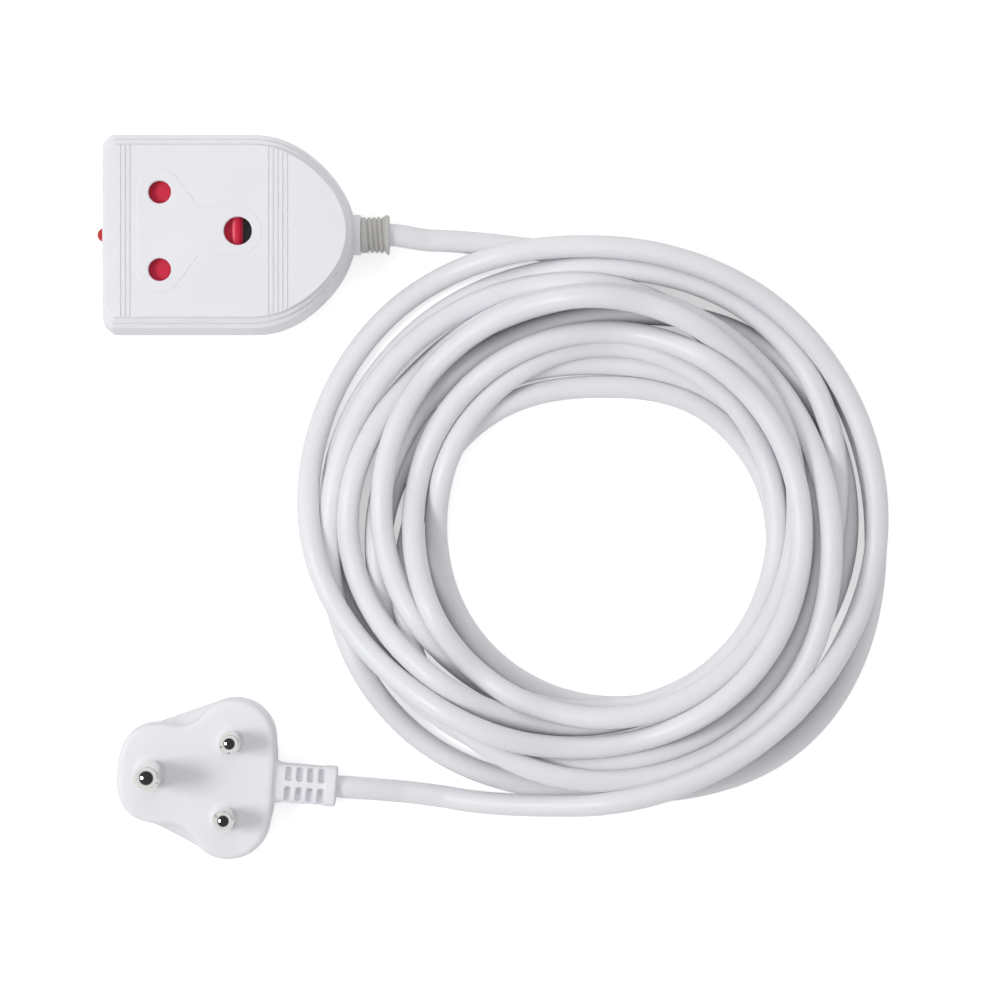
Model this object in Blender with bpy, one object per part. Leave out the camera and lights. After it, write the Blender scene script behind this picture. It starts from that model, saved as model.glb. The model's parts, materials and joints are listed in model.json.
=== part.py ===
"""A coiled extension lead: a trailing socket with shuttered round-pin holes, a hand-wound cable
and a moulded three-pin plug lying on its back.

The origin is the centre of the socket's flat back. +X runs from the socket's square end to its
cable end, +Y is the socket's upper side and +Z points out of its face. Lengths are millimetres
until a mesh is made, which is in metres.
"""

import math

import bmesh
import bpy
import numpy as np
from mathutils import Matrix, Vector

MM = 0.001
GAP = 0.3  # clearance left between neighbouring pieces

# Pins and holes of the 15 A round-pin system
LINE_SPACING = 25.4  # live to neutral
EARTH_OFFSET = 25.6  # earth to the line through live and neutral
LINE_PIN_RADIUS = 3.53
EARTH_PIN_RADIUS = 4.35
LINE_PIN_LENGTH = 18.6
EARTH_PIN_LENGTH = 28.6
LINE_HOLE_RADIUS = 3.72
EARTH_HOLE_RADIUS = 4.62

# Cable
CABLE_RADIUS = 3.75
CABLE_SIDES = 8
CORE_RADIUS = 1.3
CORE_SIDES = 6

# Socket
SOCKET_HALF_WIDTH = 33.25
SOCKET_LEFT = -41.7
SOCKET_ROUND_FROM = 8.6  # where the straight sides meet the rounded cable end
SOCKET_RIGHT = 41.8
NOSE_STEPS = 16
NOSE_FLATTENING = 0.035  # how far the rounded end falls inside an ellipse at its shoulders
SOCKET_HEIGHT = 35.0
BEVEL = 3.3
INNER_BEVEL = 2.5
PARTING_HEIGHT = 9.5
WALL = 2.2
FACE_THICKNESS = 2.5
LINE_HOLE_X = -21.6
EARTH_HOLE_X = LINE_HOLE_X + EARTH_OFFSET
GROOVE_PITCH = 1.55
GROOVE_WIDTH = 0.5
GROOVE_DEPTH = 0.4
LEFT_GROOVES = 3
RIGHT_GROOVES = 5
LEFT_GROOVE_X = -34.2
RIGHT_GROOVE_X = 14.3
SLEEVE_START = 43.7
SLEEVE_END = 53.1
SLEEVE_BAND = 2.1  # plain band before the first rib
SLEEVE_RIBS = 4
RIB_PITCH = 1.4
HOUSING_SCREWS = ((-33.4, 23.6), (-33.4, -23.6), (24.0, 19.0), (24.0, -19.0))
CLAMP_X = 28.0
CLAMP_SCREW_Y = 7.0

# Plug, in its own frame: the origin is midway between live and neutral, at floor height
PLUG_PLACE = (0.15, -180.8)
PLUG_TURN = math.radians(-4.5)
PLUG_HEIGHT = 18.0
PLUG_CABLE_HEIGHT = 8.5
EARTH_LOBE_X = -23.5
EARTH_LOBE_LENGTH = 14.3
EARTH_LOBE_WIDTH = 16.8
SQUARENESS = 0.8  # 1 makes the earth lobe an ellipse, less makes it squarer
LINE_LOBE = (0.5, 13.2)
LINE_LOBE_RADIUS = 13.9
FLANK_ARRIVES = 119  # degrees round the line lobe where the flank meets it
RELIEF_START = 15.0
RELIEF_END = 35.4
RELIEF_HALF_WIDTH = 6.7
RELIEF_WINDOWS = 4
WINDOW_PITCH = 3.67
FIRST_WINDOW_X = 19.5

# Coil: the cable runs from the plug to the socket, turning anticlockwise seen from above
COIL_CENTRE = (123.2, -98.9)
COIL_START = 240  # degrees; the first whole loop starts at 360
COIL_END = 11 * 360 + 120
KNOT_STEP = 15  # degrees between the cable's cross-sections
FINE_STEP = 3  # degrees between the places where clearance is kept
LOOP_STEP = 45  # degrees between the radii below
STEEPEST = 0.4  # largest rise of the cable for each millimetre of run
MOST_SWEEPS = 80
SETTLED = 1e-3  # a sweep that moves no knot farther than this is the last
END_HEIGHT = 5.6  # axis height where the cable rises towards the socket
# The hand-wound loops, plug end first. Each is laid over or under its neighbours by its level,
# the higher on top: (first level, angle where the level changes, second level, radii).
LOOPS = (
    (10, 0, 10, (92.1, 94.4, 94.9, 101.0, 96.3, 79.4, 70.9, 68.0)),
    (9, 0, 9, (66.4, 67.1, 66.5, 64.8, 62.1, 61.6, 61.3, 62.1)),
    (8, 200, 6.5, (65.0, 72.3, 77.5, 77.7, 72.1, 64.3, 59.6, 59.1)),
    (2, 180, 6, (59.1, 54.5, 48.5, 54.2, 63.1, 77.1, 82.3, 81.7)),
    (7, 0, 7, (76.1, 76.7, 78.6, 80.2, 83.7, 72.1, 63.3, 59.1)),
    (4, 0, 4, (59.0, 61.5, 62.1, 57.8, 54.6, 55.5, 58.3, 63.1)),
    (3, 138, 1, (68.1, 61.5, 56.2, 63.1, 72.8, 75.7, 76.7, 77.1)),
    (0.5, 138, 1.2, (82.7, 81.5, 67.5, 71.3, 74.5, 77.0, 73.8, 71.4)),
    (2.5, 217, 5.5, (78.1, 88.0, 88.0, 90.7, 90.2, 81.4, 76.9, 75.2)),
    (5, 0, 5, (73.9, 71.8, 82.1, 88.5, 90.2, 91.7, 86.7, 96.0)),
)
FIRST_LEVEL = 10
LAST_LEVEL = 1.5
# Angle and radius along the cable before the first whole loop and after the last one
HEAD = ((240, 102.3), (250, 96.2), (260, 91.9), (270, 89.7), (315, 86.9))
TAIL = ((0, 92.2), (45, 93.4), (90, 91.7), (98, 94.4), (106, 98.8), (113, 104.8), (120, 112.3))

WHITE = (0.81, 0.81, 0.84)
CABLE_WHITE = (0.80, 0.80, 0.83)
WARM_GREY = (0.60, 0.59, 0.57)


def clear_scene():
    for obj in list(bpy.data.objects):
        bpy.data.objects.remove(obj)


def material(name, colour, roughness, metallic=0.0):
    made = bpy.data.materials.new(name)
    made.use_nodes = True
    shader = made.node_tree.nodes["Principled BSDF"]
    shader.inputs["Base Color"].default_value = (*colour, 1.0)
    shader.inputs["Roughness"].default_value = roughness
    shader.inputs["Metallic"].default_value = metallic
    made.diffuse_color = (*colour, 1.0)
    return made


def empty(name, place=(0.0, 0.0, 0.0), turn=0.0, parent=None):
    """An empty at a world place, turned about Z."""
    made = bpy.data.objects.new(name, None)
    bpy.context.scene.collection.objects.link(made)
    world = Matrix.Translation(Vector(place) * MM) @ Matrix.Rotation(turn, 4, "Z")
    if parent:
        made.parent = parent
        bpy.context.view_layer.update()
        world = parent.matrix_world.inverted() @ world
    made.matrix_local = world
    bpy.context.view_layer.update()
    return made


def piece(name, shape, look, parent, cuts=(), joins=(), frame=None, solver="EXACT"):
    """A mesh object from a shape in the millimetres of frame, hung on the parent empty.

    Shapes in joins are added to it and shapes in cuts are taken out of it first.
    """
    made = mesh_object(name, shape)
    helpers = []
    for operation, others in (("UNION", joins), ("DIFFERENCE", cuts)):
        for other in others:
            helper = mesh_object(f"{name}_tool_{len(helpers)}", other)
            change = made.modifiers.new(helper.name, "BOOLEAN")
            change.operation = operation
            change.solver = solver
            change.object = helper
            helpers.append(helper)
    bpy.context.view_layer.update()
    graph = bpy.context.evaluated_depsgraph_get()
    mesh = bpy.data.meshes.new_from_object(made.evaluated_get(graph))
    made.modifiers.clear()
    made.data = mesh
    for helper in helpers:
        bpy.data.objects.remove(helper)
    if helpers:
        join_flat_faces(mesh)
    mesh.name = name
    mesh.materials.clear()
    mesh.materials.append(look)
    mesh.shade_smooth()
    mesh.set_sharp_from_angle(angle=math.radians(35))
    made.parent = parent
    made.matrix_local = parent.matrix_world.inverted() @ (frame or parent).matrix_world
    return made


def join_flat_faces(mesh):
    """Merges the slivers that a Boolean leaves in a flat face."""
    work = bmesh.new()
    work.from_mesh(mesh)
    bmesh.ops.dissolve_limit(work, angle_limit=1e-3, verts=work.verts, edges=work.edges)
    work.to_mesh(mesh)
    work.free()


def mesh_object(name, shape):
    points, faces = shape
    mesh = bpy.data.meshes.new(name)
    mesh.from_pydata([Vector(p) * MM for p in points], [], faces)
    work = bmesh.new()
    work.from_mesh(mesh)
    bmesh.ops.recalc_face_normals(work, faces=work.faces)
    work.to_mesh(mesh)
    work.free()
    made = bpy.data.objects.new(name, mesh)
    bpy.context.scene.collection.objects.link(made)
    return made


def mesh_shape(shape, cuts=(), joins=(), solver="EXACT"):
    """The points and faces of a shape after shapes are added to it and cut from it."""
    holder = empty("shape_holder")
    made = piece("shape", shape, bpy.data.materials.new("plain"), holder, cuts, joins, solver=solver)
    points = [tuple(v.co / MM) for v in made.data.vertices]
    faces = [tuple(f.vertices) for f in made.data.polygons]
    bpy.data.objects.remove(made)
    bpy.data.objects.remove(holder)
    return points, faces


def lofted(rings):
    """Points and faces of a solid through rings of equal length, with flat ends."""
    count = len(rings[0])
    points = [p for ring in rings for p in ring]
    faces = [tuple(range(count)), tuple(range(len(points) - count, len(points)))]
    for low in range(0, len(points) - count, count):
        for i in range(count):
            j = (i + 1) % count
            faces.append((low + i, low + j, low + count + j, low + count + i))
    return points, faces


def prism(outline, low, high):
    """A solid of constant outline between two heights."""
    return lofted([[(x, y, z) for x, y in outline] for z in (low, high)])


def block(x, y, z):
    """A box from three (low, high) spans."""
    return prism(((x[0], y[0]), (x[1], y[0]), (x[1], y[1]), (x[0], y[1])), *z)


def revolved(profile, segments, centre, axis="Z"):
    """A solid of (radius, height) points turned about an axis through centre.

    A profile that starts and ends at radius 0 closes on the axis; any other is a ring.
    """
    points = []
    rows = []
    for radius, height in profile:
        if radius == 0:
            rows.append([len(points)] * segments)
            points.append((0.0, 0.0, height))
            continue
        rows.append([len(points) + i for i in range(segments)])
        for i in range(segments):
            turn = 2 * math.pi * (i + 0.5) / segments
            points.append((radius * math.cos(turn), radius * math.sin(turn), height))
    faces = []
    steps = len(rows) if profile[0][0] > 0 else len(rows) - 1
    for row in range(steps):
        low, high = rows[row], rows[(row + 1) % len(rows)]
        for i in range(segments):
            j = (i + 1) % segments
            corners = dict.fromkeys((low[i], low[j], high[j], high[i]))
            faces.append(tuple(corners))
    if axis == "X":
        points = [(h, x, y) for x, y, h in points]
    return [tuple(a + b for a, b in zip(p, centre)) for p in points], faces


def rod(radius, low, high, centre, segments=16, axis="Z"):
    """A plain cylinder along an axis."""
    profile = ((0, low), (radius, low), (radius, high), (0, high))
    return revolved(profile, segments, centre, axis)


def swept(path, radius, sides, round_start=False, round_end=False):
    """A round bar along a path, with flat or domed ends."""
    path = [Vector(p) for p in path]
    tangents = [
        (path[min(i + 1, len(path) - 1)] - path[max(i - 1, 0)]).normalized()
        for i in range(len(path))
    ]
    rings = []
    for place, along in zip(path, tangents):
        side = Vector((0, 0, 1)).cross(along).normalized()
        up = along.cross(side)
        rings.append(circle_about(place, side, up, radius, sides))
    if round_end:
        rings += dome(path[-1], tangents[-1], radius, sides)
    if round_start:
        rings = dome(path[0], -tangents[0], radius, sides, mirrored=True)[::-1] + rings
    return lofted(rings)


def circle_about(place, side, up, radius, sides):
    turns = [2 * math.pi * i / sides for i in range(sides)]
    return [tuple(place + radius * (math.cos(t) * side + math.sin(t) * up)) for t in turns]


def dome(place, along, radius, sides, mirrored=False):
    """Rings that close a bar with a near-hemisphere."""
    side = Vector((0, 0, 1)).cross(along).normalized()
    up = along.cross(side)
    if mirrored:
        side = -side
    rings = []
    for lift in (math.radians(35), math.radians(70)):
        middle = place + along * radius * math.sin(lift)
        rings.append(circle_about(middle, side, up, radius * math.cos(lift), sides))
    return rings


def bent(start, start_along, end, end_along, reach, count):
    """Points of a cubic curve that leaves start and meets end along the given directions."""
    corners = [Vector(start), Vector(start) + Vector(start_along) * reach]
    corners += [Vector(end) - Vector(end_along) * reach, Vector(end)]
    points = []
    for step in range(count + 1):
        t = step / count
        weights = ((1 - t) ** 3, 3 * t * (1 - t) ** 2, 3 * t * t * (1 - t), t**3)
        points.append(sum((w * c for w, c in zip(weights, corners)), Vector()))
    return points


# ---------------------------------------------------------------- socket


def socket_outline(left, right, half_width, corner):
    """The socket's plan: square left end with bevelled corners, rounded cable end."""
    nose = []
    lower = [(left, corner - half_width), (left + corner, -half_width)]
    upper = [(left + corner, half_width), (left, half_width - corner)]
    reach = right - SOCKET_ROUND_FROM
    for step in range(NOSE_STEPS + 1):
        turn = -math.pi / 2 + step * math.pi / NOSE_STEPS
        flatten = 1 - NOSE_FLATTENING * math.sin(2 * turn) ** 2
        across = flatten * half_width * math.sin(turn)
        nose.append((SOCKET_ROUND_FROM + flatten * reach * math.cos(turn), across))
    return lower + nose + upper


def socket_ring(height, inset_x, inset_y, corner=BEVEL):
    left, right = SOCKET_LEFT + inset_x, SOCKET_RIGHT - inset_x
    outline = socket_outline(left, right, SOCKET_HALF_WIDTH - inset_y, corner)
    return [(x, y, height) for x, y in outline]


def cable_mouth(keep_low, keep_high):
    """The shells' shared features at the two ends: the collar to add, and the bores to cut."""
    centre = (0, 0, PARTING_HEIGHT)
    collar = rod(6.45, 36.5, SLEEVE_START - GAP, centre, 20, "X")
    trim = block((36.0, 50.0), (-9.0, 9.0), (keep_low, keep_high))
    bore = rod(CABLE_RADIUS + GAP, 30.0, 50.0, centre, 12, "X")
    lens_bore = rod(2.7, -50.0, -30.0, centre, 12, "X")
    return collar, [trim, bore, lens_bore]


def build_socket_base(look, parent):
    top = PARTING_HEIGHT - GAP / 2
    outer = [socket_ring(0.0, 1.6, 1.8), socket_ring(1.2, 0.5, 0.6), socket_ring(top, 0.0, 0.0)]
    hollow = [socket_ring(z, WALL + 0.4, WALL + 0.6, INNER_BEVEL) for z in (WALL, top + 5.0)]
    collar, ends = cable_mouth(top, 30.0)
    joins = []
    cuts = []
    for x, y in HOUSING_SCREWS:
        joins.append(rod(4.2, WALL - 0.8, top - 0.5, (x, y, 0), 12))
        cuts.append(rod(3.2, -1.0, 3.0, (x, y, 0), 12))
        cuts.append(rod(1.9, 2.0, 12.0, (x, y, 0), 12))
    for y in (CLAMP_SCREW_Y, -CLAMP_SCREW_Y):
        joins.append(rod(2.3, WALL - 0.8, 13.2, (CLAMP_X, y, 0), 12))
        cuts.append(rod(1.5, 4.0, 20.0, (CLAMP_X, y, 0), 10))
    shell = mesh_shape(lofted(outer), cuts=[lofted(hollow)], solver="MANIFOLD")
    piece("socket_base", shell, look, parent, ends + cuts, [collar] + joins, solver="MANIFOLD")


def build_socket_cover(look, parent):
    low = PARTING_HEIGHT + GAP / 2
    ledge = 24.5
    outer = [
        socket_ring(low, 0.0, 0.0),
        socket_ring(ledge, 0.9, 2.9),
        socket_ring(ledge + 0.5, 1.3, 3.5),
        socket_ring(33.4, 1.7, 4.5),
        socket_ring(34.6, 2.0, 4.9),
        socket_ring(SOCKET_HEIGHT, 2.5, 5.4),
    ]
    inner_top = SOCKET_HEIGHT - FACE_THICKNESS
    hollow = [
        socket_ring(low - 5.0, WALL + 0.4, WALL + 0.6, INNER_BEVEL),
        socket_ring(low, WALL + 0.4, WALL + 0.6, INNER_BEVEL),
        socket_ring(ledge, WALL + 1.5, WALL + 3.3, INNER_BEVEL),
        socket_ring(inner_top, WALL + 2.3, WALL + 4.4, INNER_BEVEL),
    ]
    collar, ends = cable_mouth(-5.0, low)
    joins = []
    cuts = []
    for x, y in HOUSING_SCREWS:
        joins.append(rod(3.4, PARTING_HEIGHT + 1.6, 33.5, (x, y, 0), 12))
        cuts.append(rod(1.7, 5.0, 24.0, (x, y, 0), 10))
    for y in (LINE_SPACING / 2, -LINE_SPACING / 2):
        cuts.append(rod(LINE_HOLE_RADIUS, 30.0, 40.0, (LINE_HOLE_X, y, 0), 24))
    cuts.append(rod(EARTH_HOLE_RADIUS, 30.0, 40.0, (EARTH_HOLE_X, 0, 0), 24))
    for first, count in ((LEFT_GROOVE_X, LEFT_GROOVES), (RIGHT_GROOVE_X, RIGHT_GROOVES)):
        for index in range(count):
            x = first + index * GROOVE_PITCH
            span = (x - GROOVE_WIDTH / 2, x + GROOVE_WIDTH / 2)
            cuts.append(block(span, (-40.0, 40.0), (SOCKET_HEIGHT - GROOVE_DEPTH, 40.0)))
    shell = mesh_shape(lofted(outer), cuts=[lofted(hollow)])
    piece("socket_cover", shell, look, parent, ends + cuts, [collar] + joins)


def build_shutter(look, parent):
    """The sliding plate behind the face: pads under live and neutral, a ramp under earth."""
    ramp_from = EARTH_HOLE_X - 1.5
    plate = (
        (-26.2, 7.4), (-19.0, 7.4), (-19.0, -7.4), (-26.2, -7.4), (-26.2, -17.8), (-17.2, -17.8),
        (-14.0, -9.0), (-8.0, -5.4), (ramp_from, -5.4), (ramp_from, 5.4), (-8.0, 5.4),
        (-14.0, 9.0), (-17.2, 17.8), (-26.2, 17.8),
    )
    ramp_to, back = ramp_from + 3.0, ramp_from - 0.5
    ramp = ((back, 29.5), (ramp_to, 29.5), (ramp_from + 0.9, 32.0), (back, 32.0))
    rings = [[(x, y, z) for x, z in ramp] for y in (-5.4, 5.4)]
    piece("shutter", prism(plate, 29.5, 31.2), look, parent, joins=[lofted(rings)])


def build_carrier(look, parent):
    """The insulating plate under the shutter that lines the pins up with the contacts."""
    lower = ((-30.0, -20.0), (-8.0, -20.0), (12.0, -10.0))
    outline = lower + tuple((x, -y) for x, y in reversed(lower))
    cuts = [rod(radius + 0.35, 20, 32, (x, y, 0), 20) for x, y, radius in contact_places()]
    piece("contact_carrier", prism(outline, 26.4, 28.9), look, parent, cuts)


def contact_places():
    """Centre and pin radius of the live, neutral and earth ways."""
    half = LINE_SPACING / 2
    return (
        (LINE_HOLE_X, half, LINE_PIN_RADIUS),
        (LINE_HOLE_X, -half, LINE_PIN_RADIUS),
        (EARTH_HOLE_X, 0.0, EARTH_PIN_RADIUS),
    )


def build_contacts(look, parent):
    names = ("live_contact", "neutral_contact", "earth_contact")
    for name, (x, y, radius) in zip(names, contact_places()):
        inner = radius + 0.05
        outer = inner + 0.9
        low = 12.0 if radius == EARTH_PIN_RADIUS else 14.0
        high = 26.1
        profile = [(inner, low), (outer, low), (outer, high)]
        profile += [(inner + 0.5, high), (inner, high - 0.8)]
        slit = block((x - 9, x - 1), (y - 0.5, y + 0.5), (low + 4, high + 1))
        piece(name, revolved(profile, 20, (x, y, 0)), look, parent, [slit])


def build_spring(look, parent):
    """The shutter's return spring, drawn closed up, as it is with the shutter fully open."""
    coils, start, end = 6, -36.6, -27.6
    count = coils * 10
    path = []
    for step in range(count + 1):
        turn = 2 * math.pi * coils * step / count
        along = start + (end - start) * step / count
        path.append((along, 1.3 * math.cos(turn), 30.6 + 1.3 * math.sin(turn)))
    rings = []
    for step, place in enumerate(path):
        turn = 2 * math.pi * coils * step / count
        outward = Vector((0, math.cos(turn), math.sin(turn)))
        rings.append(circle_about(Vector(place), Vector((1, 0, 0)), outward, 0.28, 5))
    piece("shutter_spring", lofted(rings), look, parent)


def build_indicator(lens_look, lamp_look, parent):
    tip = SOCKET_LEFT - 2.5
    profile = (
        (0, tip), (1.2, tip + 0.3), (2.0, tip + 1.1), (2.4, tip + 2.3), (2.4, SOCKET_LEFT + 3.3),
        (3.6, SOCKET_LEFT + 3.3), (3.6, SOCKET_LEFT + 4.6), (0, SOCKET_LEFT + 4.6),
    )
    centre = (0, 0, PARTING_HEIGHT)
    piece("indicator_lens", revolved(profile, 16, centre, "X"), lens_look, parent)
    lamp = ((0, -36.6), (1.2, -36.2), (1.6, -35.2), (1.6, -27.0), (0, -26.4))
    piece("neon_lamp", revolved(lamp, 12, centre, "X"), lamp_look, parent)


def build_sleeve(look, parent):
    """The ribbed grey cord sleeve at the cable end: a plain band, four ribs and an end ring."""
    low, high, rim = CABLE_RADIUS + GAP, 5.95, 6.6
    root = high - 0.7
    profile = [(low, SLEEVE_START), (high, SLEEVE_START), (high, SLEEVE_START + SLEEVE_BAND)]
    for rib in range(SLEEVE_RIBS):
        start = SLEEVE_START + SLEEVE_BAND + rib * RIB_PITCH
        profile += [(root, start + 0.2), (root, start + 0.6)]
        profile += [(high, start + 0.8), (high, start + RIB_PITCH)]
    profile += [(rim, SLEEVE_END - RIB_PITCH), (rim, SLEEVE_END), (low, SLEEVE_END)]
    shape = revolved(profile, 16, (0, 0, PARTING_HEIGHT), "X")
    piece("strain_relief_sleeve", shape, look, parent)


def build_clamp(look, screw_look, parent):
    bar = block((CLAMP_X - 3, CLAMP_X + 3), (-9.4, 9.4), (13.6, 16.2))
    holes = []
    for side, y in (("upper", CLAMP_SCREW_Y), ("lower", -CLAMP_SCREW_Y)):
        holes.append(rod(1.5, 10, 20, (CLAMP_X, y, 0), 10))
        shank = ((0, 6.0), (1.15, 7.0), (1.15, 16.5))
        screw = shank + ((2.3, 16.5), (2.3, 17.6), (1.6, 18.2), (0, 18.2))
        piece(f"clamp_screw_{side}", revolved(screw, 10, (CLAMP_X, y, 0)), screw_look, parent)
    piece("cord_clamp", bar, look, parent, holes)


def build_housing_screws(look, parent):
    for number, (x, y) in enumerate(HOUSING_SCREWS, 1):
        profile = ((0, 1.0), (2.7, 1.0), (2.7, 2.4), (1.35, 2.9), (1.35, 20.0), (0, 21.5))
        recess = [
            block((x - 2.0, x + 2.0), (y - 0.3, y + 0.3), (0, 1.7)),
            block((x - 0.3, x + 0.3), (y - 2.0, y + 2.0), (0, 1.7)),
        ]
        piece(f"housing_screw_{number}", revolved(profile, 12, (x, y, 0)), look, parent, recess)


def build_socket_wires(looks, parent):
    """The three cores fan out from the sheath's end to the backs of the contacts."""
    start_x = 20.6
    names = ("socket_live_wire", "socket_neutral_wire", "socket_earth_wire")
    for name, look, (x, y, radius), lane in zip(names, looks, contact_places(), (1, -1, 0)):
        start = Vector((start_x, 1.7 * lane, PARTING_HEIGHT - (1.0 if lane else -1.9)))
        stop = Vector((x + radius + 1.0 + GAP + 0.1, y, 16.0))
        reach = 14.0 if lane else 4.0
        path = bent(start, (-1, 0.3 * lane, 0), stop, (-1, 0, 0), reach, 8)
        piece(name, swept(path, CORE_RADIUS, CORE_SIDES), look, parent)


# ---------------------------------------------------------------- plug


def plug_outline(inset, scoop):
    """The plug's plan: a broad earth lobe, two line lobes and flanks scooped for the fingers."""
    upper = []
    for step in range(8):
        turn = math.radians(180 - step * 12)
        across = (EARTH_LOBE_LENGTH - inset) * abs(math.cos(turn)) ** SQUARENESS
        upper.append((EARTH_LOBE_X - across, (EARTH_LOBE_WIDTH - inset) * math.sin(turn) ** SQUARENESS))
    join, lobe, reach = Vector(upper[-1]), Vector(LINE_LOBE), LINE_LOBE_RADIUS - inset
    arrive = math.radians(FLANK_ARRIVES)
    land = lobe + reach * Vector((math.cos(arrive), math.sin(arrive)))
    for step in range(1, 7):
        t = step / 7
        dip = scoop * math.sin(math.pi * t) ** 1.5
        upper.append(tuple(join.lerp(land, t) + dip * Vector((0.35, -1))))
    for step in range(10):
        turn = arrive * (1 - step / 9)
        upper.append(tuple(lobe + reach * Vector((math.cos(turn), math.sin(turn)))))
    upper.append((15.2 - inset, 6.6))
    return upper + [(x, -y) for x, y in reversed(upper[1:])]


def build_plug_body(look, parent):
    levels = (
        (0.0, 3.0, 0.0), (1.2, 0.8, 0.0), (3.0, 0.0, 0.3), (13.0, 0.2, 2.9),
        (16.2, 0.6, 3.4), (17.5, 1.3, 3.4), (PLUG_HEIGHT, 2.6, 3.2),
    )
    rings = [[(x, y, z) for x, y in plug_outline(inset, scoop)] for z, inset, scoop in levels]
    hollow = [[(x, y, z) for x, y in plug_outline(4.6, 0.0)] for z in (3.2, 14.4)]
    joins = [lofted(relief_rings())]
    cuts = [lofted(hollow), rod(CABLE_RADIUS + GAP, 5.0, 50.0, (0, 0, PLUG_CABLE_HEIGHT), 12, "X")]
    for x, y, radius in pin_places():
        joins.append(rod(radius + 1.3, PLUG_HEIGHT - 1, PLUG_HEIGHT + 0.45, (x, y, 0), 20))
        cuts.append(rod(radius + GAP, 9, 30, (x, y, 0), 20))
    for index in range(RELIEF_WINDOWS):
        x = FIRST_WINDOW_X + index * WINDOW_PITCH
        for span in ((1.05, 5.7), (-5.7, -1.05)):
            cuts.append(block((x - 0.88, x + 0.88), span, (-5, 30)))
    piece("plug_body", lofted(rings), look, parent, cuts, joins, solver="MANIFOLD")


def relief_rings():
    """The slotted strain relief: a rounded square bar running out along the cable."""
    rings = []
    for x, grow in ((11.0, 1.2), (RELIEF_START, 1.0), (RELIEF_START + 2.2, 0.0), (RELIEF_END, 0.0)):
        half = RELIEF_HALF_WIDTH + grow
        ring = []
        for step in range(16):
            turn = 2 * math.pi * (step + 0.5) / 16
            across = math.copysign(abs(math.cos(turn)) ** 0.45, math.cos(turn))
            above = math.copysign(abs(math.sin(turn)) ** 0.45, math.sin(turn))
            ring.append((x, half * across, PLUG_CABLE_HEIGHT + half * above))
        rings.append(ring)
    return rings


def pin_places():
    """Centre and radius of the live, neutral and earth pins in the plug's frame."""
    half = LINE_SPACING / 2
    return (
        (0.0, half, LINE_PIN_RADIUS),
        (0.0, -half, LINE_PIN_RADIUS),
        (-EARTH_OFFSET, 0.0, EARTH_PIN_RADIUS),
    )


def build_pins(look, parent):
    lengths = (LINE_PIN_LENGTH, LINE_PIN_LENGTH, EARTH_PIN_LENGTH)
    names = ("live_pin", "neutral_pin", "earth_pin")
    for name, (x, y, radius), length in zip(names, pin_places(), lengths):
        top = PLUG_HEIGHT + length
        nose = radius * 0.62
        profile = [(0, 9.2), (radius, 9.2), (radius, top - nose)]
        for step in range(1, 4):
            turn = math.radians(step * 90 / 4)
            profile.append((radius * math.cos(turn) ** 0.8, top - nose + nose * math.sin(turn)))
        profile.append((0, top))
        piece(name, revolved(profile, 20, (x, y, 0)), look, parent)


def build_pin_bridge(look, parent):
    """The rigid insert that holds the three pins while the body is moulded round them."""
    outline = ((-31.4, -4.2), (-31.4, 4.2), (-8.0, 17.6), (4.6, 17.6), (4.6, -17.6), (-8.0, -17.6))
    cuts = [rod(radius + GAP, 5, 20, (x, y, 0), 20) for x, y, radius in pin_places()]
    piece("pin_bridge", prism(outline, 11.6, 14.1), look, parent, cuts)


def build_plug_wires(looks, parent):
    """The three cores run under the bridge from the sheath's end to the pins' tails."""
    names = ("plug_live_wire", "plug_neutral_wire", "plug_earth_wire")
    for name, look, (x, y, _), lane in zip(names, looks, pin_places(), (1, -1, 0)):
        start = Vector((4.4, 1.9 * lane, 7.2 if lane else 5.2))
        stop = Vector((x + (1.0 if lane else 3.0), y, 5.6 if lane else 5.2))
        leave = (-1, 0, 0)
        arrive = (0, lane, 0) if lane else (-1, 0, 0)
        path = bent(start, leave, stop, arrive, 4.5, 6)
        piece(name, swept(path, CORE_RADIUS, CORE_SIDES), look, parent)


# ---------------------------------------------------------------- cable


def cable_radius_at(angle):
    """The coil's radius at a running angle, through the given radii with smooth slopes."""
    given = list(HEAD)
    for loop, (_, _, _, radii) in enumerate(LOOPS, 1):
        given += [(360 * loop + LOOP_STEP * i, r) for i, r in enumerate(radii)]
    given += [(360 * (len(LOOPS) + 1) + a, r) for a, r in TAIL]
    angles, radii = np.array(given).T
    slopes = np.gradient(radii, angles)
    index = np.clip(np.searchsorted(angles, angle, side="right") - 1, 0, len(angles) - 2)
    span = angles[index + 1] - angles[index]
    t = (angle - angles[index]) / span
    start = (1 + 2 * t) * (1 - t) ** 2 * radii[index] + t * (1 - t) ** 2 * span * slopes[index]
    return start + t * t * (3 - 2 * t) * radii[index + 1] + t * t * (t - 1) * span * slopes[index + 1]


def level_at(angle):
    """How high in the pile the cable is laid at a running angle."""
    loop = int(angle // 360)
    if loop == 0:
        return FIRST_LEVEL
    if loop > len(LOOPS):
        return LAST_LEVEL
    first, change, second, _ = LOOPS[loop - 1]
    return first if angle % 360 < change else second


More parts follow.
